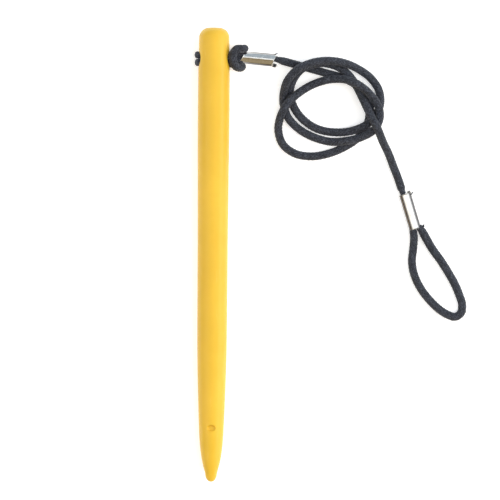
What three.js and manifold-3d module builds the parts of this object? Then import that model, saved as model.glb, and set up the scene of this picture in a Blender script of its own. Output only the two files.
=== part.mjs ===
// A tethered plastic stylus for a survey data collector, lying on a table.
// Millimetres, +Z up. The stylus lies along Y with its tip towards -Y, and the table is the plane Z = 0.
import * as THREE from 'three';
import { mergeVertices } from 'three/addons/utils/BufferGeometryUtils.js';
import Module from 'manifold-3d';

const wasm = await Module();
wasm.setup();

// Barrel: one moulding, turned about its own length.
const BARREL_LENGTH = 115.7;
const BARREL_SIDES = 48;
const HEAD_FLAT_RADIUS = 1.2;
const HEAD_ROUND_LENGTH = 2.6;
const HEAD_ROUND_STEPS = 7;
const TIP_ROUND_LENGTH = 2.1;
const TIP_ROUND_RADIUS = 1.5;
const TIP_ROUND_STEPS = 6;
const BODY_STEPS = 34;
// The body's outline between the two round ends, as [distance from the head, radius].
const BODY_OUTLINE = [
  [2.6, 3.84], [12, 4.0], [25, 4.03], [38, 3.94], [52, 3.85], [67, 3.81], [82, 3.74],
  [92, 3.51], [100, 3.23], [106, 2.92], [110.3, 2.34], [113.6, 1.5],
];

// Cross hole for the tether, with softened mouths.
const HOLE_FROM_HEAD = 7.85;
const HOLE_RADIUS = 1.9;
const HOLE_FLARE_RADIUS = 2.35;
const HOLE_FLARE_START = 3.0;
const HOLE_REACH = 4.2;
const HOLE_SIDES = 32;

// Small moulding mark near the tip, on the upper side.
const MARK_FROM_HEAD = 101.8;
const MARK_LENGTH = 1.3;
const MARK_WIDTH = 1.8;
const MARK_DEPTH = 0.3;
const MARK_SIDES = 20;
const MARK_RADIUS_THERE = 3.23;
const MARK_CUTTER_HEIGHT = 2;

// The head is propped up by the hitch under it, so the barrel lies at a slight slope.
const BARREL_TILT = THREE.MathUtils.degToRad(1.624);

// Cord and its crimped sleeves.
const CORD_RADIUS = 1.0;
const HITCH_RADIUS = 0.75;
const CORD_SIDES = 8;
const SLEEVE_THICKNESS = 2.3;
const SLEEVE_BEVEL = 0.25;
const SLEEVE_BEVEL_STEPS = 2;
const SLEEVE_SIDES = 32;
const HITCH_SLEEVE = { from: [6.1, 50.46, 5.9], to: [15.0, 49.8, 3.0], width: 3.25 };
const LOOP_SLEEVE = { from: [48.95, 16.0, 1.3], to: [51.7, 7.0, 1.3], width: 3.05 };
const CUT_END_RADIUS = 0.4;
const CUT_END_SIDES = 12;
const HITCH_CUT_END = { from: [15.3, 48.6, 2.85], to: [15.75, 48.55, 2.7] };
const LOOP_CUT_END = { from: [50.1, 16.7, 1.35], to: [49.9, 17.35, 1.35] };

// The hitch, measured from the middle of the cross hole: out of the sleeve, through the hole, under the
// barrel, up and across the two strands, and back the same way.
const HITCH_STEPS = 32;
const HITCH_ROUTE = [
  [5.75, 1.1, 0], [4.2, 0.98, 0], [1.0, 0.9, 0], [-2.4, 0.9, 0], [-3.65, 0.93, -0.45],
  [-4.4, 0.98, -1.7], [-4.2, 1.0, -3.05], [-2.8, 1.0, -4.35], [0, 1.0, -5.0], [2.7, 1.05, -4.85],
  [5.0, 1.6, -4.65], [6.6, 2.4, -3.75], [7.35, 2.85, -2.3], [7.65, 2.85, -0.8], [7.75, 2.85, 0.5],
  [7.5, 2.55, 1.6], [6.8, 2.4, 2.25], [5.9, 2.35, 2.45], [5.2, 1.8, 2.4], [4.85, 1.0, 2.3], [4.8, 0.1, 2.1],
  [4.95, -0.9, 1.8], [5.35, -1.8, 1.1], [6.0, -2.2, 0], [6.75, -2.2, -1.4], [7.05, -1.8, -2.9],
  [6.1, -1.4, -4.15], [3.4, -1.05, -4.85], [0, -1.0, -5.0], [-2.8, -0.95, -4.35], [-4.15, -0.93, -3.05],
  [-4.35, -0.93, -1.7], [-3.65, -0.9, -0.45], [-2.4, -0.9, 0], [1.0, -0.9, 0], [4.2, -0.75, 0],
  [5.75, -0.4, 0],
];

// The tether, from the hitch sleeve to the loop sleeve: three loose turns, then a straight tail.
const TETHER_STEPS = 54;
const FIRST_TURN = [
  [15.45, 50.15, 2.8], [17.8, 49.6, 1.8], [20.9, 48.8, 1.1], [25.0, 47.7, 1.1], [29.0, 46.6, 1.1],
  [32.9, 45.5, 1.1], [36.1, 43.8, 1.1], [38.5, 41.6, 1.1], [39.8, 38.8, 1.1], [39.7, 35.9, 1.1],
  [38.9, 32.9, 1.1], [36.7, 30.1, 1.1], [33.3, 27.8, 1.1], [29.5, 26.2, 1.1], [25.1, 25.4, 1.1],
  [20.8, 26.1, 1.1], [17.7, 28.4, 1.1], [16.5, 31.9, 1.4], [16.9, 35.1, 2.8],
];
const SECOND_TURN = [
  [18.2, 37.9, 3.7], [20.3, 40.4, 3.5], [23.5, 42.8, 2.7], [27.0, 44.4, 2.9], [30.8, 45.1, 3.8],
  [34.4, 44.7, 5.5], [37.7, 43.0, 5.7], [40.5, 40.4, 4.6], [42.1, 37.6, 4.2], [42.2, 34.9, 4.8],
  [40.9, 32.3, 4.6], [37.8, 30.4, 3.6], [34.0, 29.4, 3.2], [29.7, 29.2, 1.5], [25.3, 30.4, 1.1],
  [21.7, 32.4, 1.1], [19.0, 35.2, 1.1], [17.8, 38.5, 1.1],
];
const THIRD_TURN = [
  [17.8, 41.7, 2.3], [18.9, 44.9, 4.7], [21.4, 47.5, 5.7], [24.9, 49.1, 5.5], [29.0, 49.7, 4.8],
  [33.1, 49.2, 3.9], [36.9, 47.7, 1.9], [40.0, 45.5, 1.1], [42.1, 42.4, 1.1], [42.5, 39.1, 1.1],
  [41.3, 36.1, 2.6], [39.0, 33.6, 3.4], [35.3, 32.0, 2.6], [30.9, 31.6, 1.1], [26.6, 32.4, 1.1],
  [22.9, 34.7, 1.1], [20.4, 38.0, 1.1], [19.4, 41.7, 1.2],
];
const TAIL = [
  [20.3, 45.1, 2.6], [22.4, 47.6, 3.4], [25.7, 49.0, 3.1], [29.3, 49.0, 2.1], [32.6, 47.7, 2.0],
  [35.0, 45.4, 3.2], [36.7, 42.6, 3.4], [38.3, 39.3, 4.3], [39.8, 36.0, 5.9], [41.5, 32.8, 6.9],
  [43.1, 29.2, 5.0], [44.7, 26.1, 2.6], [46.0, 22.9, 1.2], [47.2, 19.9, 1.1], [48.35, 16.45, 1.15],
];

// The end loop, from the loop sleeve round and back to it.
const LOOP_STEPS = 10;
const LOOP_ROUTE = [
  [51.1, 6.7, 1.2], [51.35, 4.8, 1.1], [51.2, 2.1, 1.1], [50.9, -1.0, 1.1], [51.2, -3.5, 1.1],
  [52.0, -5.9, 1.1], [53.5, -8.6, 1.1], [55.4, -11.0, 1.1], [57.8, -13.3, 1.1], [60.0, -14.7, 1.1],
  [62.0, -15.3, 1.1], [63.5, -14.3, 1.1], [63.8, -12.2, 1.1], [63.2, -10.1, 1.1], [61.9, -7.0, 1.1],
  [60.2, -4.0, 1.1], [58.2, -0.9, 1.1], [56.0, 2.1, 1.1], [54.2, 5.2, 1.1], [53.2, 6.8, 1.2],
];

const YELLOW_PLASTIC = new THREE.MeshStandardMaterial({ color: 0xf0bf4a, roughness: 0.5 });
const BLACK_CORD = new THREE.MeshStandardMaterial({ color: 0x2c2d31, roughness: 0.85 });
const PLATED_METAL = new THREE.MeshStandardMaterial({ color: 0xc9c7c1, roughness: 0.25, metalness: 1 });
const RUBBER_CORE = new THREE.MeshStandardMaterial({ color: 0xb9b2a4, roughness: 0.8 });

function vector(point) {
  return new THREE.Vector3(...point);
}

// Welds a closed geometry into one indexed mesh. Vertices nearer than this count as one.
const WELD_DISTANCE = 1e-4;

function weld(geometry) {
  geometry.deleteAttribute('normal');
  geometry.deleteAttribute('uv');
  return mergeVertices(geometry, WELD_DISTANCE);
}

function toManifold(geometry) {
  const welded = weld(geometry);
  const vertProperties = new Float32Array(welded.attributes.position.array);
  const triVerts = new Uint32Array(welded.index.array);
  return new wasm.Manifold(new wasm.Mesh({ numProp: 3, vertProperties, triVerts }));
}

function toGeometry(manifold) {
  const mesh = manifold.getMesh();
  const geometry = new THREE.BufferGeometry();
  geometry.setAttribute('position', new THREE.BufferAttribute(mesh.vertProperties, 3));
  geometry.setIndex(new THREE.BufferAttribute(mesh.triVerts, 1));
  return geometry;
}

function namedMesh(name, geometry, material) {
  geometry.computeVertexNormals();
  const mesh = new THREE.Mesh(geometry, material);
  mesh.name = name;
  return mesh;
}

// The barrel's half outline from the tip to the head, with Y measured from the barrel's middle.
function barrelOutline() {
  const half = BARREL_LENGTH / 2;
  const points = [new THREE.Vector2(0, -half)];
  for (let i = 1; i < TIP_ROUND_STEPS; i += 1) {
    const angle = (Math.PI / 2) * (i / TIP_ROUND_STEPS);
    const fromTip = TIP_ROUND_LENGTH * (1 - Math.cos(angle));
    points.push(new THREE.Vector2(TIP_ROUND_RADIUS * Math.sin(angle), fromTip - half));
  }
  const body = new THREE.SplineCurve(BODY_OUTLINE.map(([d, r]) => new THREE.Vector2(r, half - d)));
  points.push(...body.getPoints(BODY_STEPS).reverse());
  const roundDepth = BODY_OUTLINE[0][1] - HEAD_FLAT_RADIUS;
  for (let i = 1; i <= HEAD_ROUND_STEPS; i += 1) {
    const angle = (Math.PI / 2) * (i / HEAD_ROUND_STEPS);
    const radius = HEAD_FLAT_RADIUS + roundDepth * Math.cos(angle);
    points.push(new THREE.Vector2(radius, half - HEAD_ROUND_LENGTH * (1 - Math.sin(angle))));
  }
  points.push(new THREE.Vector2(0, half));
  return points;
}

function crossHole() {
  const outline = [
    [0, -HOLE_REACH], [HOLE_FLARE_RADIUS, -HOLE_REACH], [HOLE_RADIUS, -HOLE_FLARE_START],
    [HOLE_RADIUS, HOLE_FLARE_START], [HOLE_FLARE_RADIUS, HOLE_REACH], [0, HOLE_REACH],
  ];
  const geometry = new THREE.LatheGeometry(outline.map(([r, y]) => new THREE.Vector2(r, y)), HOLE_SIDES);
  geometry.rotateZ(-Math.PI / 2);
  geometry.translate(0, BARREL_LENGTH / 2 - HOLE_FROM_HEAD, 0);
  return toManifold(geometry);
}

function mouldingMark() {
  const radius = MARK_WIDTH / 2;
  const geometry = new THREE.CylinderGeometry(radius, radius, MARK_CUTTER_HEIGHT, MARK_SIDES);
  geometry.rotateX(Math.PI / 2);
  geometry.scale(1, MARK_LENGTH / MARK_WIDTH, 1);
  const middle = MARK_RADIUS_THERE - MARK_DEPTH + MARK_CUTTER_HEIGHT / 2;
  geometry.translate(0, BARREL_LENGTH / 2 - MARK_FROM_HEAD, middle);
  return toManifold(geometry);
}

// The barrel in place: sloped, and lifted until its lowest point meets the table.
function barrelPlacement(geometry) {
  const tilt = new THREE.Matrix4().makeRotationX(BARREL_TILT);
  const tilted = geometry.clone().applyMatrix4(tilt);
  tilted.computeBoundingBox();
  return new THREE.Matrix4().makeTranslation(0, 0, -tilted.boundingBox.min.z).multiply(tilt);
}

function barrel() {
  const turned = toManifold(new THREE.LatheGeometry(barrelOutline(), BARREL_SIDES));
  return toGeometry(turned.subtract(crossHole()).subtract(mouldingMark()));
}

function cord(points, radius, steps) {
  const section = new THREE.Shape();
  for (let i = 0; i < CORD_SIDES; i += 1) {
    const angle = (2 * Math.PI * i) / CORD_SIDES;
    const corner = [radius * Math.cos(angle), radius * Math.sin(angle)];
    if (i === 0) section.moveTo(...corner);
    else section.lineTo(...corner);
  }
  const path = new THREE.CatmullRomCurve3(points);
  return weld(new THREE.ExtrudeGeometry(section, { steps, extrudePath: path, bevelEnabled: false }));
}

// A flattened oval sleeve with softened rims, wide across the table and thin in height.
function sleeve({ from, to, width }) {
  const section = new THREE.Shape();
  const halfWidth = width / 2 - SLEEVE_BEVEL;
  const halfThickness = SLEEVE_THICKNESS / 2 - SLEEVE_BEVEL;
  section.absellipse(0, 0, halfWidth, halfThickness, 0, 2 * Math.PI);
  const start = vector(from);
  const end = vector(to);
  const length = start.distanceTo(end);
  const geometry = new THREE.ExtrudeGeometry(section, {
    depth: length - 2 * SLEEVE_BEVEL,
    curveSegments: SLEEVE_SIDES,
    bevelThickness: SLEEVE_BEVEL,
    bevelSize: SLEEVE_BEVEL,
    bevelSegments: SLEEVE_BEVEL_STEPS,
  });
  geometry.translate(0, 0, SLEEVE_BEVEL);
  const along = end.clone().sub(start).normalize();
  const across = new THREE.Vector3(0, 0, 1).cross(along).normalize();
  const up = along.clone().cross(across);
  geometry.applyMatrix4(new THREE.Matrix4().makeBasis(across, up, along).setPosition(start));
  return weld(geometry);
}

function cutEnd({ from, to }) {
  const start = vector(from);
  const end = vector(to);
  const along = end.clone().sub(start);
  const length = along.length();
  const geometry = new THREE.CylinderGeometry(CUT_END_RADIUS, CUT_END_RADIUS, length, CUT_END_SIDES);
  const turn = new THREE.Quaternion();
  turn.setFromUnitVectors(new THREE.Vector3(0, 1, 0), along.normalize());
  geometry.applyQuaternion(turn);
  const middle = start.add(end).multiplyScalar(0.5);
  geometry.translate(middle.x, middle.y, middle.z);
  return weld(geometry);
}

function build() {
  const part = new THREE.Group();
  part.name = 'tethered_stylus';
  const barrelGeometry = barrel();
  const placement = barrelPlacement(barrelGeometry);
  const hole = new THREE.Vector3(0, BARREL_LENGTH / 2 - HOLE_FROM_HEAD, 0).applyMatrix4(placement);
  const hitch = HITCH_ROUTE.map((point) => vector(point).add(hole));
  const tether = [...FIRST_TURN, ...SECOND_TURN, ...THIRD_TURN, ...TAIL].map(vector);
  part.add(
    namedMesh('stylus_barrel', barrelGeometry.applyMatrix4(placement), YELLOW_PLASTIC),
    namedMesh('hitch_cord', cord(hitch, HITCH_RADIUS, HITCH_STEPS), BLACK_CORD),
    namedMesh('hitch_sleeve', sleeve(HITCH_SLEEVE), PLATED_METAL),
    namedMesh('hitch_cut_end', cutEnd(HITCH_CUT_END), RUBBER_CORE),
    namedMesh('tether_cord', cord(tether, CORD_RADIUS, TETHER_STEPS), BLACK_CORD),
    namedMesh('loop_sleeve', sleeve(LOOP_SLEEVE), PLATED_METAL),
    namedMesh('loop_cord', cord(LOOP_ROUTE.map(vector), CORD_RADIUS, LOOP_STEPS), BLACK_CORD),
    namedMesh('loop_cut_end', cutEnd(LOOP_CUT_END), RUBBER_CORE),
  );
  return part;
}

export default build();
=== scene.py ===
"""The looks of the tethered stylus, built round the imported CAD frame. Metres, +Z up, the stylus along Y."""
import math
import random

import bpy
import numpy as np
from mathutils import Matrix


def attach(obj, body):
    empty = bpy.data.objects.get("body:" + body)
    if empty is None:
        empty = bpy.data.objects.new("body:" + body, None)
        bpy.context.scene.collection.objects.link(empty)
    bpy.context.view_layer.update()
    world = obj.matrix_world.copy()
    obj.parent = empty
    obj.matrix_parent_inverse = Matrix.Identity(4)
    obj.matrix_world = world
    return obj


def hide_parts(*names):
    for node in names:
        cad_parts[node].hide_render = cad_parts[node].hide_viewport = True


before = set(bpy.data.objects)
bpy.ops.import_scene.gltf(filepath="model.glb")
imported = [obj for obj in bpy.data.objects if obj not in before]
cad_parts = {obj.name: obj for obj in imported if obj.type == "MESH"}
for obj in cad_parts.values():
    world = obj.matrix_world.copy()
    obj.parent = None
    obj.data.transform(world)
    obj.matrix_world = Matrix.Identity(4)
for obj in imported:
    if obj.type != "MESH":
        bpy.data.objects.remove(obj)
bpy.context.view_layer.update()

MM = 0.001

# ---------------------------------------------------------------- camera
CAMERA_CENTRE = (9.5, 1.37)
CAMERA_HEIGHT = 1000.0
CAMERA_ROLL = 0.0078
VIEW_WIDTH = 127.5
VIEW_LEVEL = 3.0
SENSOR_WIDTH = 36.0
CAMERA_CLIP = (0.01, 20)

# ---------------------------------------------------------------- cord routes, in mm
# They follow the CAD's routes, with the ends carried on into the sleeves' mouths. The hitch is measured from
# the middle of the cross hole, and is a little tighter than the CAD's at its outer corner.
HOLE_CENTRE = (0.0, 49.98, 5.89)
HITCH_ROUTE = [
    (7.6, 1.0, -0.4), (5.9, 1.1, 0), (4.2, 0.98, 0), (1.0, 0.9, 0), (-2.4, 0.9, 0),
    (-3.65, 0.93, -0.45), (-4.4, 0.98, -1.7), (-4.2, 1.0, -3.05), (-2.8, 1.0, -4.35), (0, 1.0, -5.0),
    (2.7, 1.05, -4.85), (5.0, 1.6, -4.65), (6.6, 2.4, -3.75), (7.35, 2.75, -2.3), (7.65, 2.65, -0.8),
    (7.8, 2.6, 0.5), (7.6, 2.5, 1.6), (6.85, 2.4, 2.25), (5.9, 2.35, 2.45), (5.2, 1.8, 2.4),
    (4.85, 1.0, 2.3), (4.8, 0.1, 2.1), (4.95, -0.9, 1.8), (5.35, -1.8, 1.1), (6.0, -2.2, 0),
    (6.75, -2.2, -1.4), (7.05, -1.8, -2.9), (6.1, -1.4, -4.15), (3.4, -1.05, -4.85), (0, -1.0, -5.0),
    (-2.8, -0.95, -4.35), (-4.15, -0.93, -3.05), (-4.35, -0.93, -1.7), (-3.65, -0.9, -0.45),
    (-2.4, -0.9, 0), (1.0, -0.9, 0), (4.2, -0.75, 0), (5.9, -0.4, 0), (7.4, -0.4, -0.4),
]
FIRST_TURN = [
    (14.5, 50.2, 3.1), (15.45, 50.15, 2.8), (17.8, 49.6, 1.8), (20.9, 48.8, 1.1), (25.0, 47.7, 1.1),
    (29.0, 46.6, 1.1),
    (32.9, 45.5, 1.1), (36.1, 43.8, 1.1), (38.5, 41.6, 1.1), (39.8, 38.8, 1.1), (39.7, 35.9, 1.1),
    (38.9, 32.9, 1.1), (36.7, 30.1, 1.1), (33.3, 27.8, 1.1), (29.5, 26.2, 1.1), (25.1, 25.4, 1.1),
    (20.8, 26.1, 1.1), (17.7, 28.4, 1.1), (16.5, 31.9, 1.4), (16.9, 35.1, 2.8),
]
SECOND_TURN = [
    (18.2, 37.9, 3.7), (20.3, 40.4, 3.5), (23.5, 42.8, 2.7), (27.0, 44.4, 2.9), (30.8, 45.1, 3.8),
    (34.4, 44.7, 5.5), (37.7, 43.0, 5.7), (40.5, 40.4, 4.6), (42.1, 37.6, 4.2), (42.2, 34.9, 4.8),
    (40.9, 32.3, 4.6), (37.8, 30.4, 3.6), (34.0, 29.4, 3.2), (29.7, 29.2, 1.5), (25.3, 30.4, 1.1),
    (21.7, 32.4, 1.1), (19.0, 35.2, 1.1), (17.8, 38.5, 1.1),
]
THIRD_TURN = [
    (17.8, 41.7, 2.3), (18.9, 44.9, 4.7), (21.4, 47.5, 5.7), (24.9, 49.1, 5.5), (29.0, 49.7, 4.8),
    (33.1, 49.2, 3.9), (36.9, 47.7, 1.9), (40.0, 45.5, 1.1), (42.1, 42.4, 1.1), (42.5, 39.1, 1.1),
    (41.3, 36.1, 2.6), (39.0, 33.6, 3.4), (35.3, 32.0, 2.6), (30.9, 31.6, 1.1), (26.6, 32.4, 1.1),
    (22.9, 34.7, 1.1), (20.4, 38.0, 1.1), (19.4, 41.7, 1.2),
]
TAIL = [
    (20.3, 45.1, 2.6), (22.4, 47.6, 3.4), (25.7, 49.0, 3.1), (29.3, 49.0, 2.1), (32.6, 47.7, 2.0),
    (35.0, 45.4, 3.2), (36.7, 42.6, 3.4), (38.3, 39.3, 4.3), (39.8, 36.0, 5.9), (41.5, 32.8, 6.9),
    (43.1, 29.2, 5.0), (44.7, 26.1, 2.6), (46.0, 22.9, 1.2), (47.2, 19.9, 1.1), (48.35, 16.45, 1.15),
    (48.6, 15.85, 1.2),
]
LOOP_ROUTE = [
    (50.85, 7.7, 1.25), (51.1, 6.7, 1.2), (51.35, 4.8, 1.1), (51.2, 2.1, 1.1), (50.9, -1.0, 1.1),
    (51.2, -3.5, 1.1),
    (52.0, -5.9, 1.1), (53.5, -8.6, 1.1), (55.4, -11.0, 1.1), (57.8, -13.3, 1.1), (60.0, -14.7, 1.1),
    (62.0, -15.3, 1.1), (63.5, -14.3, 1.1), (63.8, -12.2, 1.1), (63.2, -10.1, 1.1), (61.9, -7.0, 1.1),
    (60.2, -4.0, 1.1), (58.2, -0.9, 1.1), (56.0, 2.1, 1.1), (54.2, 5.2, 1.1), (53.2, 6.9, 1.2),
    (52.35, 7.8, 1.25),
]

# ---------------------------------------------------------------- cord, mm
TUBE_SIDES = 48
ROUTE_STEPS_PER_SPAN = 24
RING_STEP = 0.12
BRAID_STRANDS = 8
BRAID_PITCH = 8.0
BRAID_DEPTH = 0.13
STRAND_ROUNDNESS = 0.6
STRAND_LEAST_HEIGHT = 0.45
CROSSING_ROUNDNESS = 0.5
# Three odd numbers that turn a crossing's place in the braid into a scattered shade.
SHADE_SCATTER = (12.9898, 78.233, 43758.5453)
END_ROUND = 0.3
END_LEAST_SHARE = 0.15
# The radius along each cord, as (mm from its start, radius).
TETHER_RADII = [(0, 0.68), (1.6, 0.78), (2.3, 0.84), (3.2, 1.04), (6, 1.06), (262.1, 1.06), (262.8, 0.8)]
LOOP_RADII = [(0, 0.85), (1.2, 1.0), (3, 1.04), (35, 1.08), (53, 1.1), (55, 0.85)]
HITCH_RADII = [(0, 0.85), (2, 0.85), (9, 0.93), (25, 0.88), (28, 0.85), (33, 1.08), (44, 1.08), (49, 0.88),
               (60, 0.93), (68, 0.85)]
# How flat the strands lie against the barrel, as (mm from the start, thickness for width).
HITCH_FLATNESS = [(9, 1.0), (11, 0.66), (19, 0.72), (23, 1.0), (49, 1.0), (52, 0.72), (58, 0.66), (60, 1.0)]

# ---------------------------------------------------------------- sleeves, mm
# skew_start and skew_end slant the two mouths, outward moves the first mouth on, pinch narrows it, and the
# last number says how far the painted dark reflection on the sides reaches.
HITCH_SLEEVE = {
    "from": (6.1, 50.46, 5.9), "to": (15.0, 49.8, 3.0), "width": 3.25, "thick": 2.3,
    "skew_start": 0.8, "skew_end": 0.6, "outward": 1.0, "pinch": 0.28, "painted_side_reach": 0.8,
}
LOOP_SLEEVE = {
    "from": (48.95, 16.0, 1.3), "to": (51.7, 7.0, 1.3), "width": 3.05, "thick": 2.3,
    "skew_start": 0.0, "skew_end": 0.0, "outward": 0.0, "pinch": 0.0, "painted_side_reach": 1.32,
}
SLEEVE_WALL = 0.28
SLEEVE_SIDES = 72
SLEEVE_RINGS = 60
SLEEVE_INSET = 0.01
MOUTH_DEPTH = 1.3
LIP_DEPTH = 0.25
LIP_ROUND = 0.13
LIP_STEPS = 6
PRESS_DEPTH = 0.02
PRESS_LENGTH = 0.9
PRESS_SHARES = (0.33, 0.67)
# Moves the bright middle, between the painted dark reflection on the sleeve's sides, a little off centre.
PAINTED_SIDE_OFFSET = 0.04

# ---------------------------------------------------------------- cut ends, mm
HITCH_CUT_END = {"from": (14.9, 48.65, 2.95), "to": (15.75, 48.55, 2.7), "radius": 0.5, "reach": 0.12}
LOOP_CUT_END = {"from": (50.0, 16.2, 1.35), "to": (49.95, 17.35, 1.4), "radius": 0.5, "reach": 0.6}
CORE_STRANDS_ROUND = 6
CORE_STRAND_SIDES = 10
CORE_STRAND_SHARE = 0.33
CORE_STRAND_OUT = 0.62
CORE_STRAND_BEHIND = 0.7
CORE_STRAND_RINGS = 7
CORE_TIP_SHARES = (0.3, 0.12)
CORE_REACH_RANGE = (0.8, 1.0)
CORE_SPREAD = 0.1
# Tufts of broken braid: name, body, start, end of the middle thread, spread, threads, thickness.
TUFTS = [
    ("hitch_end_tuft", "stylus", (14.8, 48.7, 2.95), (15.7, 48.5, 2.6), 0.42, 40, 0.07),
    ("hitch_lip_tuft", "stylus", (15.2, 51.25, 3.25), (16.3, 51.6, 3.2), 0.14, 5, 0.05),
    ("loop_end_tuft", "end_loop", (50.0, 16.1, 1.5), (50.0, 16.75, 1.7), 0.3, 16, 0.07),
    ("loop_lip_tuft", "end_loop", (50.4, 15.7, 1.6), (51.0, 16.6, 1.8), 0.14, 7, 0.06),
    ("loop_side_tuft", "end_loop", (52.7, 6.9, 1.35), (53.75, 8.0, 1.5), 0.3, 26, 0.08),
]
THREAD_SIDES = 6
THREAD_RINGS = 8
THREAD_TIP_SHARE = 0.4
THREAD_ROOT_SHARE = 0.5
THREAD_REACH_RANGE = (0.6, 1.1)
SEED = 7

# ---------------------------------------------------------------- barrel, mm
BARREL_LENGTH = 115.7
BARREL_TILT = math.radians(1.624)
HEAD_FLAT_RADIUS = 1.2
HEAD_ROUND_LENGTH = 2.6
TIP_ROUND_LENGTH = 2.1
TIP_ROUND_RADIUS = 1.5
BODY_OUTLINE = [
    (2.6, 3.84), (12, 4.0), (25, 4.03), (38, 3.94), (52, 3.85), (67, 3.81), (82, 3.74),
    (92, 3.51), (100, 3.23), (106, 2.92), (110.3, 2.34), (113.6, 1.5),
]
BARREL_SIDES = 144
ROUND_STEPS = 12
BODY_STEPS_PER_SPAN = 14
SHARP_ANGLE = math.radians(35)

# Cross hole, with a rounded flare at each mouth.
HOLE_FROM_HEAD = 7.85
HOLE_RADIUS = 1.9
HOLE_FLARE = 0.55
HOLE_FLARE_LENGTH = 1.0
HOLE_FLARE_END = 4.0
HOLE_REACH = 4.4
HOLE_SIDES = 64
FLARE_STEPS = 6

# Moulding mark: a shallow dish, turned and then stretched.
MARK_FROM_HEAD = 101.8
MARK_OUTLINE = [(0, -1), (0.55, -0.9), (0.85, 0.0), (1.15, 1), (0, 1)]
MARK_STRETCH = (1.4, 0.85, 0.35, 1)
MARK_HEIGHT = 3.0
MARK_SIDES = 32
# The middle of the mark, in metres, about which painted shade darkens its dish.
MARK_PLACE = (0.0, -0.04394, 0.00607)

# ---------------------------------------------------------------- light and floor, in metres and watts
# The room, as (place from the front, 0, to the back, 1, and colour), with a bright band overhead.
ROOM_STOPS = [
    (0.3, (0.4, 0.32, 0.2)), (0.465, (0.26, 0.2, 0.11)), (0.485, (1.0, 0.97, 0.88)),
    (0.535, (1.0, 1.0, 1.0)), (0.555, (0.4, 0.44, 0.47)), (0.7, (0.48, 0.55, 0.62)),
]
# Each light's name, place, size and power.
KEY_LIGHT = ("key", (0.45, -0.05, 0.85), (1.7, 0.12), 7.2)
TUBE_LIGHT = ("tube", (0.45, 0.14, 1.1), (2.4, 0.14), 1.2)
TUBE_TURN = math.radians(17)
RIGHT_FILL = ("right_fill", (0.95, 0.0, 0.45), (0.4, 1.2), 3.6)
LEFT_FILL = ("left_fill", (-0.75, -0.2, 0.75), (0.5, 0.9), 1.8)
FLOOR_GLOW = 0.5
FLOOR_HALF_SIZE = 3.0
FLOOR_DROP = 0.00002


# ================================================================ small helpers
def catmull_rom(points, per_span=ROUTE_STEPS_PER_SPAN):
    """A centripetal Catmull-Rom curve through the points, as the CAD draws it."""
    pts = np.array(points, float)
    ends = np.vstack([2 * pts[0] - pts[1], pts, 2 * pts[-1] - pts[-2]])
    out = []
    for p0, p1, p2, p3 in zip(ends, ends[1:], ends[2:], ends[3:]):
        d0, d1, d2 = (np.linalg.norm(b - a) ** 0.5 for a, b in ((p0, p1), (p1, p2), (p2, p3)))
        m1 = ((p1 - p0) / d0 - (p2 - p0) / (d0 + d1) + (p2 - p1) / d1) * d1
        m2 = ((p2 - p1) / d1 - (p3 - p1) / (d1 + d2) + (p3 - p2) / d2) * d1
        t = np.linspace(0, 1, per_span, endpoint=False)[:, None]
        out.append(p1 + m1 * t + (3 * (p2 - p1) - 2 * m1 - m2) * t**2 + (2 * (p1 - p2) + m1 + m2) * t**3)
    out.append(pts[-1:])
    return np.vstack(out)


def evenly_spaced(curve, step):
    """Points about a step apart along the curve, and how far along it each lies."""
    along = np.r_[0, np.cumsum(np.linalg.norm(np.diff(curve, axis=0), axis=1))]
    marks = np.linspace(0, along[-1], max(2, round(along[-1] / step)) + 1)
    return marks, np.stack([np.interp(marks, along, curve[:, k]) for k in range(3)], axis=1)


def carried_frames(centres):
    """The unit side and up vectors at each centre, carried along the curve without twisting."""
    tangents = np.gradient(centres, axis=0)
    tangents /= np.linalg.norm(tangents, axis=1)[:, None]
    side = unit(np.cross(tangents[0], (0, 0, 1)))
    sides = []
    for tangent in tangents:
        side = unit(side - tangent * side.dot(tangent))
        sides.append(side)
    sides = np.array(sides)
    return sides, np.cross(sides, tangents)


def unit(vector):
    return vector / np.linalg.norm(vector)


def axes_along(start, end):
    """Unit vectors along the line, level across it, and up from it."""
    along = unit(end - start)
    across = unit(np.cross((0, 0, 1), along))
    return along, across, np.cross(along, across)


def radial_directions(sides, ups, angles):
    """For each side and up vector, the directions at the angles round them."""
    cosines, sines = np.cos(angles)[None, :, None], np.sin(angles)[None, :, None]
    return sides[:, None, :] * cosines + ups[:, None, :] * sines


def add_layer(obj, name, values):
    layer = obj.data.attributes.new(name, "FLOAT", "POINT")
    layer.data.foreach_set("value", values.astype(np.float32).ravel())


def mesh_object(name, vertices, faces):
    mesh = bpy.data.meshes.new(name)
    mesh.from_pydata([tuple(v) for v in vertices], [], faces)
    mesh.update()
    mesh.polygons.foreach_set("use_smooth", [True] * len(mesh.polygons))
    obj = bpy.data.objects.new(name, mesh)
    bpy.context.scene.collection.objects.link(obj)
    return obj


def ring_faces(rings, sides):
    """Quads between closed rings, and one flat cap at each end."""
    faces = []
    for i in range(rings - 1):
        for j in range(sides):
            a, b = i * sides + j, i * sides + (j + 1) % sides
            faces.append((a, b, b + sides, a + sides))
    faces.append(tuple(reversed(range(sides))))
    faces.append(tuple(range((rings - 1) * sides, rings * sides)))
    return faces


# ================================================================ cord
def braid(angle, along):
    """A tubular braid's height and shade, each 0 to 1, at an angle round the cord and mm along it."""
    turn = angle / (2 * np.pi) * BRAID_STRANDS
    climb = along / BRAID_PITCH * BRAID_STRANDS
    a, b = turn + climb, turn - climb
    across_a, across_b = np.sin(np.pi * (a % 1)), np.sin(np.pi * (b % 1))

    def strand(own, other):
        swell = STRAND_LEAST_HEIGHT + (1 - STRAND_LEAST_HEIGHT) * other**CROSSING_ROUNDNESS
        return own**STRAND_ROUNDNESS * swell

    over = (np.floor(a) + np.floor(b)) % 2
    height = np.where(over > 0, strand(across_a, across_b), strand(across_b, across_a))
    # Each crossing has a shade of its own.
    cell = np.floor(a) * SHADE_SCATTER[0] + np.floor(b) * SHADE_SCATTER[1]
    return height, np.sin(cell) * SHADE_SCATTER[2] % 1


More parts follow.
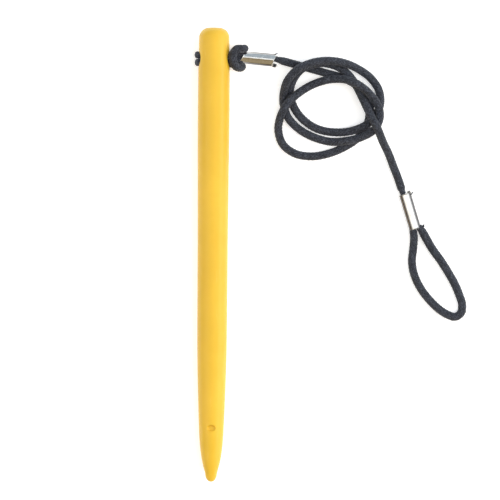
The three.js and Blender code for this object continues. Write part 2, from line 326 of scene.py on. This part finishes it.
def pressed(offset, centres, marks, flatness):
    """The strand's section, flattened against the barrel, whose axis is near Y."""
    out = np.cross(np.gradient(centres, axis=0), (0, 1, 0))
    out /= np.maximum(np.linalg.norm(out, axis=1), 1e-9)[:, None]
    press = (1 - np.interp(marks, *zip(*flatness)))[:, None, None]
    return offset - press * (offset * out[:, None, :]).sum(2, keepdims=True) * out[:, None, :]


def braided_cord(name, route, radii, material, flatness=None):
    """A length of cord with its braid in relief. Gives the object, its path and its length, in metres."""
    marks, centres = evenly_spaced(catmull_rom(route), RING_STEP)
    sides, ups = carried_frames(centres)
    # A rounded shoulder closes each end.
    edge = np.clip(np.minimum(marks, marks[-1] - marks) / END_ROUND, 0, 1)
    radius = np.interp(marks, *zip(*radii)) * np.sqrt(np.clip(1 - (1 - edge) ** 2, END_LEAST_SHARE, 1))
    angles = np.linspace(0, 2 * np.pi, TUBE_SIDES, endpoint=False)
    height, shade = braid(angles[None, :], marks[:, None])
    reach = radius[:, None] - BRAID_DEPTH * (1 - height)
    offset = radial_directions(sides, ups, angles) * reach[:, :, None]
    if flatness:
        offset = pressed(offset, centres, marks, flatness)
    vertices = (centres[:, None, :] + offset) * MM
    obj = mesh_object(name, vertices.reshape(-1, 3), ring_faces(len(marks), TUBE_SIDES))
    add_layer(obj, "braid", height)
    add_layer(obj, "shade", shade)
    obj.data.materials.append(material)
    return obj, centres * MM, marks[-1] * MM


# ================================================================ sleeves
def oval(half_width, half_thick, count):
    angles = np.linspace(0, 2 * np.pi, count, endpoint=False)
    return np.stack([half_width * np.cos(angles), half_thick * np.sin(angles)], axis=1)


def crimped_sleeve(name, spec, material):
    """An open-mouthed oval tube with rolled lips, pressed flatter in two bands."""
    start, end = np.array(spec["from"]), np.array(spec["to"])
    length = np.linalg.norm(end - start)
    along, across, up = axes_along(start, end)
    half_w, half_t = spec["width"] / 2, spec["thick"] / 2
    rings = []
    side = []

    def ring(at, grow, thin=0.0):
        share = np.clip(at / length, 0, 1)
        shape = oval(half_w + grow - spec["pinch"] * (1 - share) ** 4, half_t + grow - thin, SLEEVE_SIDES)
        x, z = shape[:, :1], shape[:, 1:]
        slant = spec["skew_start"] * (1 - share) ** 2 * (x / half_w + spec["outward"])
        slant = slant + spec["skew_end"] * share**2 * x / half_w
        rings.append(start + along * (at + slant) + x * across + z * up)
        # How far each point lies out towards the rounded sides, where the plating gets a painted dark
        # reflection.
        side.append(np.abs(x[:, 0] / half_w - PAINTED_SIDE_OFFSET) * spec["painted_side_reach"])

    ring(MOUTH_DEPTH, -SLEEVE_WALL)
    ring(LIP_DEPTH, -SLEEVE_WALL)
    for step in range(LIP_STEPS + 1):
        angle = math.pi * step / LIP_STEPS
        ring(LIP_ROUND - LIP_ROUND * math.sin(angle), -SLEEVE_WALL / 2 * (1 + math.cos(angle)))
    for step in range(1, SLEEVE_RINGS):
        at = length * step / SLEEVE_RINGS
        press = sum(math.exp(-(((at - length * share) / PRESS_LENGTH) ** 2)) for share in PRESS_SHARES)
        ring(at, -SLEEVE_INSET, PRESS_DEPTH * press)
    for step in range(LIP_STEPS + 1):
        angle = math.pi * step / LIP_STEPS
        ring(length - LIP_ROUND + LIP_ROUND * math.sin(angle), -SLEEVE_WALL / 2 * (1 - math.cos(angle)))
    ring(length - LIP_DEPTH, -SLEEVE_WALL)
    ring(length - MOUTH_DEPTH, -SLEEVE_WALL)
    obj = mesh_object(name, np.vstack(rings) * MM, ring_faces(len(rings), SLEEVE_SIDES))
    add_layer(obj, "side", np.concatenate(side))
    obj.data.materials.append(material)
    return obj


# ================================================================ cut ends and threads
def rod_rings(centres, radii, sides):
    centres = np.array(centres, float)
    angles = np.linspace(0, 2 * np.pi, sides, endpoint=False)
    directions = radial_directions(*carried_frames(centres), angles)
    return (centres[:, None, :] + directions * np.array(radii)[:, None, None]).reshape(-1, 3)


def bundle(name, rods, sides, material):
    """One mesh of many thin rods, each a list of centres and radii in mm."""
    vertices, faces = [], []
    for centres, radii in rods:
        first = sum(len(v) for v in vertices)
        vertices.append(rod_rings(centres, radii, sides))
        faces += [tuple(first + k for k in face) for face in ring_faces(len(centres), sides)]
    obj = mesh_object(name, np.vstack(vertices) * MM, faces)
    obj.data.materials.append(material)
    return obj


def cut_end(name, spec, rubber):
    """The seven rubber strands of a cut cord end, six round one, which point along spec's two points."""
    start, end = np.array(spec["from"]), np.array(spec["to"])
    along, across, up = axes_along(start, end)
    thick = spec["radius"] * CORE_STRAND_SHARE
    radii = [thick] * (CORE_STRAND_RINGS - len(CORE_TIP_SHARES))
    radii += [spec["radius"] * share for share in CORE_TIP_SHARES]
    strands = []
    for k in range(CORE_STRANDS_ROUND + 1):
        angle = 2 * math.pi * k / CORE_STRANDS_ROUND
        out = 0 if k == CORE_STRANDS_ROUND else spec["radius"] * CORE_STRAND_OUT
        side = across * math.cos(angle) + up * math.sin(angle)
        reach = spec["reach"] * random.uniform(*CORE_REACH_RANGE)
        steps = np.linspace(-CORE_STRAND_BEHIND, reach, CORE_STRAND_RINGS)
        # The strands spread a little beyond the cut.
        centres = [start + along * t + side * out * (1 + CORE_SPREAD * max(t, 0)) for t in steps]
        strands.append((centres, radii))
    return bundle(name, strands, CORE_STRAND_SIDES, rubber)


def tuft(name, start, end, spread, count, thickness, cord):
    """Short bent threads that fan out from start towards end."""
    start, end = np.array(start), np.array(end)
    along = end - start
    radii = [thickness] * (THREAD_RINGS - 1) + [thickness * THREAD_TIP_SHARE]
    threads = []
    for _ in range(count):
        lean = np.array([random.uniform(-1, 1) for _ in range(3)]) * spread
        root = np.array([random.uniform(-1, 1) for _ in range(3)]) * spread * THREAD_ROOT_SHARE
        reach = random.uniform(*THREAD_REACH_RANGE)
        steps = np.linspace(0, 1, THREAD_RINGS)
        centres = [start + root + along * t * reach + lean * t * t for t in steps]
        threads.append((centres, radii))
    return bundle(name, threads, THREAD_SIDES, cord)


# ================================================================ barrel
def barrel_outline():
    """The barrel's half outline from the tip to the head, as (radius, y) with y from the barrel's middle."""
    half = BARREL_LENGTH / 2
    quarter = [math.pi / 2 * i / ROUND_STEPS for i in range(1, ROUND_STEPS + 1)]
    points = [(0.0, -half)]
    for angle in quarter[:-1]:
        points.append((TIP_ROUND_RADIUS * math.sin(angle), TIP_ROUND_LENGTH * (1 - math.cos(angle)) - half))
    body = catmull_rom([(radius, half - d, 0) for d, radius in BODY_OUTLINE], BODY_STEPS_PER_SPAN)[::-1]
    points += [(radius, y) for radius, y, _ in body]
    depth = BODY_OUTLINE[0][1] - HEAD_FLAT_RADIUS
    for angle in quarter:
        radius = HEAD_FLAT_RADIUS + depth * math.cos(angle)
        points.append((radius, half - HEAD_ROUND_LENGTH * (1 - math.sin(angle))))
    points.append((0.0, half))
    return points


def lathe(name, outline, sides):
    """Turns (radius, y) points about the Y axis. The first and last points lie on the axis."""
    vertices = [(0, outline[0][1], 0)]
    for radius, y in outline[1:-1]:
        for j in range(sides):
            angle = 2 * math.pi * j / sides
            vertices.append((radius * math.sin(angle), y, radius * math.cos(angle)))
    vertices.append((0, outline[-1][1], 0))
    last = len(vertices) - 1
    rows = len(outline) - 2
    faces = []
    for j in range(sides):
        k = (j + 1) % sides
        faces.append((0, 1 + k, 1 + j))
        for i in range(rows - 1):
            a, b = 1 + i * sides + j, 1 + i * sides + k
            faces.append((a, b, b + sides, a + sides))
        top = 1 + (rows - 1) * sides
        faces.append((top + j, top + k, last))
    return mesh_object(name, np.array(vertices) * MM, faces)


def apply_modifiers(obj):
    graph = bpy.context.evaluated_depsgraph_get()
    mesh = bpy.data.meshes.new_from_object(obj.evaluated_get(graph))
    obj.modifiers.clear()
    obj.data = mesh


def cut(obj, cutter):
    modifier = obj.modifiers.new("cut", "BOOLEAN")
    modifier.object = cutter
    modifier.operation = "DIFFERENCE"
    modifier.solver = "EXACT"
    apply_modifiers(obj)
    bpy.data.objects.remove(cutter)


def cross_hole():
    outline = [(0, -HOLE_REACH)]
    for angle in np.linspace(0, math.pi / 2, FLARE_STEPS):
        radius = HOLE_RADIUS + HOLE_FLARE * (1 - math.sin(angle))
        outline.append((radius, -HOLE_FLARE_END + HOLE_FLARE_LENGTH * (1 - math.cos(angle))))
    outline += [(radius, -y) for radius, y in reversed(outline[1:])]
    outline.append((0, HOLE_REACH))
    cutter = lathe("hole_cutter", outline, HOLE_SIDES)
    hole_y = BARREL_LENGTH / 2 - HOLE_FROM_HEAD
    place = Matrix.Translation((0, hole_y * MM, 0))
    cutter.data.transform(place @ Matrix.Rotation(-math.pi / 2, 4, "Z"))
    return cutter


def moulding_mark():
    cutter = lathe("mark_cutter", MARK_OUTLINE, MARK_SIDES)
    mark_y = BARREL_LENGTH / 2 - MARK_FROM_HEAD
    place = Matrix.Translation((0, mark_y * MM, MARK_HEIGHT * MM))
    cutter.data.transform(place @ Matrix.Diagonal(MARK_STRETCH) @ Matrix.Rotation(math.pi / 2, 4, "X"))
    return cutter


def stylus_barrel(material):
    """The barrel, cut, sloped, and lifted until its lowest point meets the table."""
    obj = lathe("barrel", barrel_outline(), BARREL_SIDES)
    cut(obj, cross_hole())
    cut(obj, moulding_mark())
    obj.data.transform(Matrix.Rotation(BARREL_TILT, 4, "X"))
    lowest = min(v.co.z for v in obj.data.vertices)
    obj.data.transform(Matrix.Translation((0, 0, -lowest)))
    obj.data.polygons.foreach_set("use_smooth", [True] * len(obj.data.polygons))
    obj.data.set_sharp_from_angle(angle=SHARP_ANGLE)
    obj.data.materials.clear()
    obj.data.materials.append(material)
    return obj


# ================================================================ materials
class Nodes:
    """A short way to write a node material."""

    def __init__(self, name):
        self.material = bpy.data.materials.new(name)
        self.material.use_nodes = True
        self.tree = self.material.node_tree
        self.shader = self.tree.nodes["Principled BSDF"]

    def add(self, kind, inputs=(), **settings):
        """A new node, with each input linked to a socket or set to a value."""
        node = self.tree.nodes.new(kind)
        for key, value in settings.items():
            setattr(node, key, value)
        for key, value in dict(inputs).items():
            if isinstance(value, bpy.types.NodeSocket):
                self.tree.links.new(value, node.inputs[key])
            else:
                node.inputs[key].default_value = value
        return node

    def set(self, **values):
        """Links or sets the shader's inputs, named with _ for a space."""
        for key, value in values.items():
            socket = self.shader.inputs[key.replace("_", " ")]
            if isinstance(value, bpy.types.NodeSocket):
                self.tree.links.new(value, socket)
            else:
                socket.default_value = value

    def noise(self, scale, detail=3.0, roughness=0.5, stretch=(1, 1, 1)):
        where = self.add("ShaderNodeTexCoord").outputs["Object"]
        mapping = self.add("ShaderNodeMapping", {"Vector": where, "Scale": stretch})
        return self.add("ShaderNodeTexNoise", {"Vector": mapping.outputs["Vector"], "Scale": scale,
                                               "Detail": detail, "Roughness": roughness}).outputs["Fac"]

    def ramp(self, value, stops):
        node = self.add("ShaderNodeValToRGB", {"Fac": value})
        elements = node.color_ramp.elements
        while len(elements) < len(stops):
            elements.new(0.5)
        for element, (position, colour) in zip(elements, stops):
            element.position = position
            element.color = (*colour, 1)
        return node.outputs["Color"]

    def span(self, value, low, high, to_low, to_high):
        return self.add("ShaderNodeMapRange", {"Value": value, "From Min": low, "From Max": high,
                                               "To Min": to_low, "To Max": to_high}).outputs["Result"]

    def math(self, operation, a, b):
        return self.add("ShaderNodeMath", {0: a, 1: b}, operation=operation).outputs["Value"]

    def mix(self, factor, a, b):
        node = self.add("ShaderNodeMix", data_type="RGBA")
        for socket, value in ((0, factor), (6, a), (7, b)):
            if isinstance(value, bpy.types.NodeSocket):
                self.tree.links.new(value, node.inputs[socket])
            else:
                node.inputs[socket].default_value = value
        return node.outputs[2]

    def bump(self, height, strength, distance):
        return self.add("ShaderNodeBump", {"Height": height, "Strength": strength,
                                           "Distance": distance}).outputs["Normal"]


def yellow_plastic():
    """A satin moulding with faint clouding and lengthwise scuffs, and painted shade in the mark."""
    n = Nodes("yellow_plastic")
    cloud = n.noise(90, 4, 0.55)
    colour = n.ramp(cloud, [(0.3, (0.76, 0.46, 0.03)), (0.7, (0.83, 0.51, 0.044))])
    scuff = n.noise(700, 5, 0.7, (1, 0.12, 1))
    worn = n.span(scuff, 0.6, 0.74, 0, 0.3)
    colour = n.mix(worn, colour, (0.88, 0.6, 0.13, 1))
    where = n.add("ShaderNodeTexCoord").outputs["Object"]
    away = n.add("ShaderNodeVectorMath", {0: where, 1: MARK_PLACE}, operation="DISTANCE").outputs["Value"]
    # Painted shade darkens the moulding mark's dish.
    colour = n.mix(n.span(away, 0.0006, 0.0011, 0.3, 0), colour, (0.5, 0.27, 0.015, 1))
    grain = n.noise(5200, 2, 0.6)
    n.set(Base_Color=colour, Roughness=n.span(cloud, 0.3, 0.7, 0.33, 0.43),
          Normal=n.bump(n.math("ADD", n.math("MULTIPLY", grain, 0.5), scuff), 0.12, 0.00004))
    n.shader.inputs["Subsurface Weight"].default_value = 0.12
    n.shader.inputs["Subsurface Radius"].default_value = (1.0, 0.6, 0.2)
    n.shader.inputs["Subsurface Scale"].default_value = 0.0015
    n.shader.inputs["IOR"].default_value = 1.46
    return n.material


def black_cord():
    """Dull braid with painted shade between the strands, painted glints on the fibres and a little dust."""
    n = Nodes("black_cord")
    height = n.add("ShaderNodeAttribute", attribute_name="braid").outputs["Fac"]
    shade = n.add("ShaderNodeAttribute", attribute_name="shade").outputs["Fac"]
    fibre = n.noise(9000, 4, 0.8)
    dust = n.noise(1700, 3, 0.7)
    yarn = n.ramp(shade, [(0.1, (0.014, 0.016, 0.022)), (0.9, (0.036, 0.04, 0.054))])
    # Painted shade: the crevices between the strands go nearly black.
    base = n.mix(n.span(height, 0.2, 0.75, 0, 1), (0.003, 0.003, 0.004, 1), yarn)
    # Painted glints where the fibre pattern is highest.
    lit = n.mix(n.span(fibre, 0.52, 0.66, 0, 0.7), base, (0.22, 0.238, 0.29, 1))
    colour = n.mix(n.span(dust, 0.55, 0.7, 0, 0.35), lit, (0.16, 0.17, 0.2, 1))
    n.set(Base_Color=colour, Roughness=n.span(fibre, 0.3, 0.7, 0.55, 0.85),
          Normal=n.bump(fibre, 0.6, 0.00006))
    n.shader.inputs["Specular IOR Level"].default_value = 0.2
    n.shader.inputs["Sheen Weight"].default_value = 0.08
    n.shader.inputs["Sheen Roughness"].default_value = 0.5
    return n.material


def plated_metal():
    """Bright plating, with a painted dark reflection on the rounded sides."""
    n = Nodes("plated_metal")
    side = n.add("ShaderNodeAttribute", attribute_name="side").outputs["Fac"]
    smear = n.noise(1400, 4, 0.6)
    scratch = n.noise(4500, 3, 0.6, (0.2, 1, 1))
    bright = n.ramp(smear, [(0.3, (0.7, 0.69, 0.66)), (0.7, (0.84, 0.84, 0.82))])
    painted_dark_reflection = n.ramp(smear, [(0.3, (0.12, 0.115, 0.115)), (0.7, (0.2, 0.195, 0.195))])
    # Painted dark reflection on the sleeve's rounded sides.
    edge = n.span(n.math("ADD", side, n.math("MULTIPLY", smear, 0.1)), 0.6, 0.74, 0, 1)
    n.set(Base_Color=n.mix(edge, bright, painted_dark_reflection), Metallic=1.0, Roughness=n.span(smear, 0.3, 0.7, 0.05, 0.12),
          Normal=n.bump(n.math("ADD", scratch, smear), 0.02, 0.00001))
    return n.material


def rubber_core():
    n = Nodes("rubber_core")
    cloud = n.noise(2500, 4, 0.6)
    colour = n.ramp(cloud, [(0.3, (0.36, 0.33, 0.28)), (0.7, (0.62, 0.59, 0.52))])
    n.set(Base_Color=colour, Roughness=0.75, Normal=n.bump(cloud, 0.4, 0.00005))
    return n.material


def floor_paper():
    n = Nodes("floor_paper")
    fibre = n.noise(900, 3, 0.6)
    colour = n.ramp(fibre, [(0.3, (0.86, 0.86, 0.86)), (0.7, (0.88, 0.88, 0.88))])
    n.set(Base_Color=colour, Roughness=0.95, Emission_Color=colour)
    n.shader.inputs["Emission Strength"].default_value = FLOOR_GLOW
    return n.material


# ================================================================ camera, light, floor
def make_camera():
    data = bpy.data.cameras.new("camera")
    camera = bpy.data.objects.new("camera", data)
    bpy.context.scene.collection.objects.link(camera)
    bpy.context.scene.camera = camera
    camera.location = (CAMERA_CENTRE[0] * MM, CAMERA_CENTRE[1] * MM, CAMERA_HEIGHT * MM)
    camera.rotation_euler = (0, 0, CAMERA_ROLL)
    data.sensor_width = SENSOR_WIDTH
    data.lens = SENSOR_WIDTH * (CAMERA_HEIGHT - VIEW_LEVEL) / VIEW_WIDTH
    data.clip_start, data.clip_end = CAMERA_CLIP


def area_light(name, place, size, power):
    """A white rectangular light, turned about Y to face the middle of the floor."""
    data = bpy.data.lights.new(name, "AREA")
    data.shape = "RECTANGLE"
    data.size, data.size_y = size
    data.energy = power
    light = bpy.data.objects.new(name, data)
    light.location = place
    light.rotation_euler = (0, math.atan2(place[0], place[2]), 0)
    bpy.context.scene.collection.objects.link(light)
    return light


def make_room():
    """A dim room that is warm in front and cool behind, with a bright band overhead."""
    world = bpy.data.worlds.new("studio")
    bpy.context.scene.world = world
    world.use_nodes = True
    tree = world.node_tree
    background = tree.nodes["Background"]
    where = tree.nodes.new("ShaderNodeTexCoord").outputs["Generated"]
    split = tree.nodes.new("ShaderNodeSeparateXYZ")
    tree.links.new(where, split.inputs[0])
    depth = tree.nodes.new("ShaderNodeMapRange")
    tree.links.new(split.outputs["Y"], depth.inputs["Value"])
    depth.inputs["From Min"].default_value = -1
    room = tree.nodes.new("ShaderNodeValToRGB")
    elements = room.color_ramp.elements
    while len(elements) < len(ROOM_STOPS):
        elements.new(0.5)
    for element, (position, colour) in zip(elements, ROOM_STOPS):
        element.position = position
        element.color = (*colour, 1)
    tree.links.new(depth.outputs["Result"], room.inputs["Fac"])
    tree.links.new(room.outputs["Color"], background.inputs["Color"])


def make_lights():
    """A key that only lights, a long tube that shows in the sleeves, and a fill from each side."""
    key = area_light(*KEY_LIGHT)
    key.visible_glossy = False
    tube = area_light(*TUBE_LIGHT)
    tube.rotation_euler = (0, 0, TUBE_TURN)
    area_light(*RIGHT_FILL)
    area_light(*LEFT_FILL)


def make_floor(material):
    size = FLOOR_HALF_SIZE
    corners = [(-size, -size, 0), (size, -size, 0), (size, size, 0), (-size, size, 0)]
    obj = mesh_object("floor", corners, [(0, 1, 2, 3)])
    obj.location.z = -FLOOR_DROP
    obj.data.materials.append(material)


# ================================================================ assembly
def make_sleeves():
    metal = plated_metal()
    hitch_sleeve = crimped_sleeve("hitch_crimp", HITCH_SLEEVE, metal)
    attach(hitch_sleeve, "stylus")
    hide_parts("hitch_sleeve")
    loop_sleeve = crimped_sleeve("loop_crimp", LOOP_SLEEVE, metal)
    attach(loop_sleeve, "end_loop")
    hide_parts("loop_sleeve")
    return hitch_sleeve, loop_sleeve


def make_cords(cord, hitch_sleeve, loop_sleeve):
    hitch_route = [tuple(np.array(point) + HOLE_CENTRE) for point in HITCH_ROUTE]
    tether_route = FIRST_TURN + SECOND_TURN + THIRD_TURN + TAIL
    lengths = (
        ("hitch", hitch_route, HITCH_RADII, HITCH_FLATNESS, "stylus", hitch_sleeve, "taut"),
        ("tether", tether_route, TETHER_RADII, None, "tether", loop_sleeve, "coiled"),
        ("loop", LOOP_ROUTE, LOOP_RADII, None, "end_loop", loop_sleeve, "loose"),
    )
    for name, route, radii, flatness, body, sleeve, lay in lengths:
        piece, path, length = braided_cord(name + "_braid", route, radii, cord, flatness)
        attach(piece, body)
        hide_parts(name + "_cord")


def make_barrel():
    barrel = stylus_barrel(yellow_plastic())
    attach(barrel, "stylus")
    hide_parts("stylus_barrel")


def make_cut_ends(cord):
    rubber = rubber_core()
    for name, spec, body, node in (("hitch_end", HITCH_CUT_END, "stylus", "hitch_cut_end"),
                                   ("loop_end", LOOP_CUT_END, "end_loop", "loop_cut_end")):
        core = cut_end(name, spec, rubber)
        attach(core, body)
        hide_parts(node)
    for name, body, *shape in TUFTS:
        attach(tuft(name, *shape, cord), body)


def build():
    random.seed(SEED)
    make_camera()
    cord = black_cord()
    make_cords(cord, *make_sleeves())
    make_barrel()
    make_cut_ends(cord)
    make_floor(floor_paper())
    make_room()
    make_lights()
    bpy.context.scene.view_settings.view_transform = "Standard"


build()
